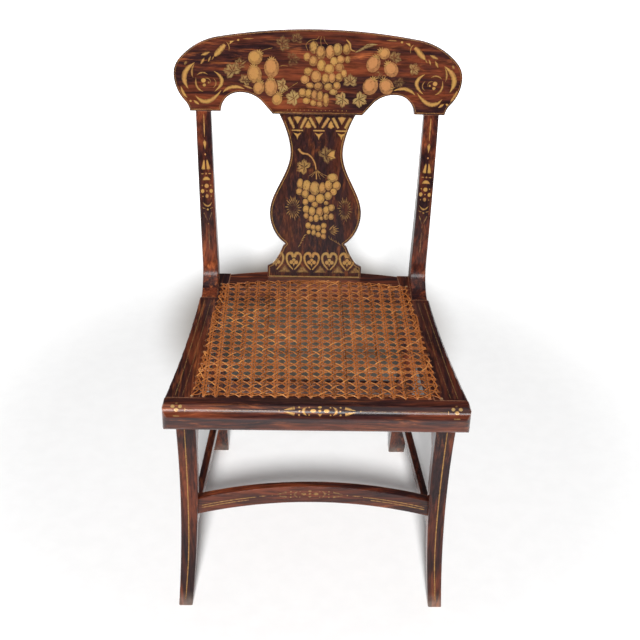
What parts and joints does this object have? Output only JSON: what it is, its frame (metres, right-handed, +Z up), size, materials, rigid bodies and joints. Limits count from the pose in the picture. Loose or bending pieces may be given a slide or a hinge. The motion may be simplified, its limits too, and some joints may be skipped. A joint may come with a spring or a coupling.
{
  "type": "side chair",
  "caption": "Side chair with a raked back, a bowed crest rail over a vase splat, sabre legs, plain stretchers and a hand-woven cane seat in a painted, stenciled frame",
  "frame": {"origin": "On the floor, at the bottom centre of the whole chair's box.", "axes": "+Z up. -Y is the way the sitter faces, +Y is towards the back. +X is to the sitter's left."},
  "size_m": [0.4738, 0.5248, 0.8423],
  "materials": {
    "painted_wood": "graining in dark brown and red under aged gloss varnish, with bronze stenciling",
    "cane": "split rattan, varnished and darkened",
    "bare_wood": "unpainted hardwood",
    "iron": "dull wrought-iron wood screws"
  },
  "bodies": {
    "root": {"crest_rail": "painted_wood", "splat": "painted_wood", "stile_left": "painted_wood", "stile_right": "painted_wood", "seat_rail_front": "painted_wood", "seat_rail_rear": "painted_wood", "seat_rail_left": "painted_wood", "seat_rail_right": "painted_wood", "front_leg_left": "painted_wood", "front_leg_right": "painted_wood", "rear_leg_left": "painted_wood", "rear_leg_right": "painted_wood", "front_stretcher": "painted_wood", "rear_stretcher": "painted_wood", "side_stretcher_left": "painted_wood", "side_stretcher_right": "painted_wood", "cane_square_weave": "cane", "cane_strand_ends": "cane", "cane_diagonals_lower": "cane", "cane_diagonals_upper": "cane", "cane_pegs": "bare_wood", "crest_pins": "bare_wood", "stile_screws": "iron"}
  },
  "joints": []
}
